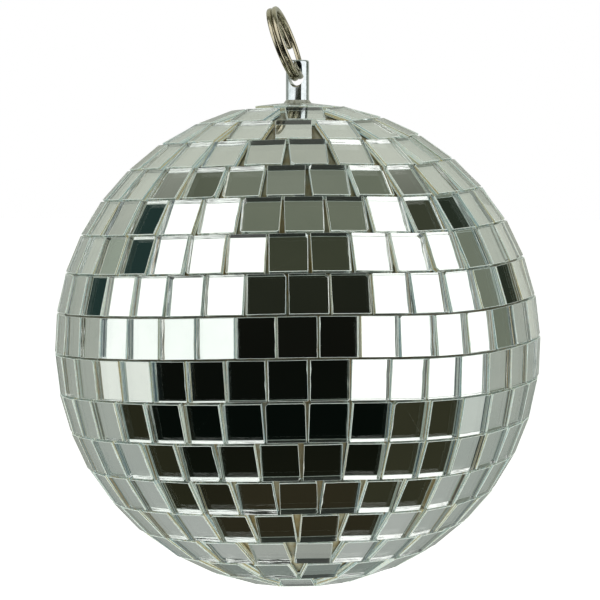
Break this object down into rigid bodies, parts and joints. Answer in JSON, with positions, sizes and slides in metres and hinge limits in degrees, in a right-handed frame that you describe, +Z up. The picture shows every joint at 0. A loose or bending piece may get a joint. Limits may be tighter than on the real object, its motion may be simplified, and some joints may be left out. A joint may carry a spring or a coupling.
{
  "type": "mirror ball",
  "caption": "Hollow ball covered in rows of small flat mirror tiles, hung from a cross-drilled metal pin that carries a swinging split ring.",
  "frame": {"origin": "centre of the cross hole in the hanger pin, on the ball's axis, where the ball hangs", "axes": "+Z up along the hanger pin, Y along the cross hole, the pictured side towards -Y"},
  "size_m": [0.1258, 0.1258, 0.1503],
  "materials": {
    "mirror_tile": "silvered float glass, clear cut edges",
    "core_plastic": "moulded, plain",
    "glue": "contact glue, dried, uneven",
    "glue_bead": "dried glue, glossy",
    "pin_plating": "bright zinc plated steel",
    "zinc_plate": "zinc plated",
    "nylon": "natural nylon",
    "ring_nickel": "warm nickel plated spring steel"
  },
  "bodies": {
    "ball": {"upper_core_shell": "core_plastic", "lower_core_shell": "core_plastic", "upper_glue_coat": "glue", "lower_glue_coat": "glue", "pin_glue_bead": "glue_bead", "hanger_pin": "pin_plating", "pin_washer": "zinc_plate", "lock_nut": "zinc_plate", "lock_nut_insert": "nylon", "tile_row_upper_1": "mirror_tile", "tile_row_upper_2": "mirror_tile", "tile_row_upper_3": "mirror_tile", "tile_row_upper_4": "mirror_tile", "tile_row_upper_5": "mirror_tile", "tile_row_upper_6": "mirror_tile", "tile_row_upper_7": "mirror_tile", "tile_row_upper_8": "mirror_tile", "tile_row_lower_1": "mirror_tile", "tile_row_lower_2": "mirror_tile", "tile_row_lower_3": "mirror_tile", "tile_row_lower_4": "mirror_tile", "tile_row_lower_5": "mirror_tile", "tile_row_lower_6": "mirror_tile", "tile_row_lower_7": "mirror_tile", "tile_row_lower_8": "mirror_tile", "top_cap_tiles": "mirror_tile", "bottom_cap_tiles": "mirror_tile"},
    "ring": {"split_ring": "ring_nickel"}
  },
  "joints": [
    {"name": "ring_swing", "type": "hinge", "parent": "ball", "child": "ring", "pos_m": [0, 0, 0], "axis": [0, 1, 0], "range_deg": [-88, 128]}
  ]
}
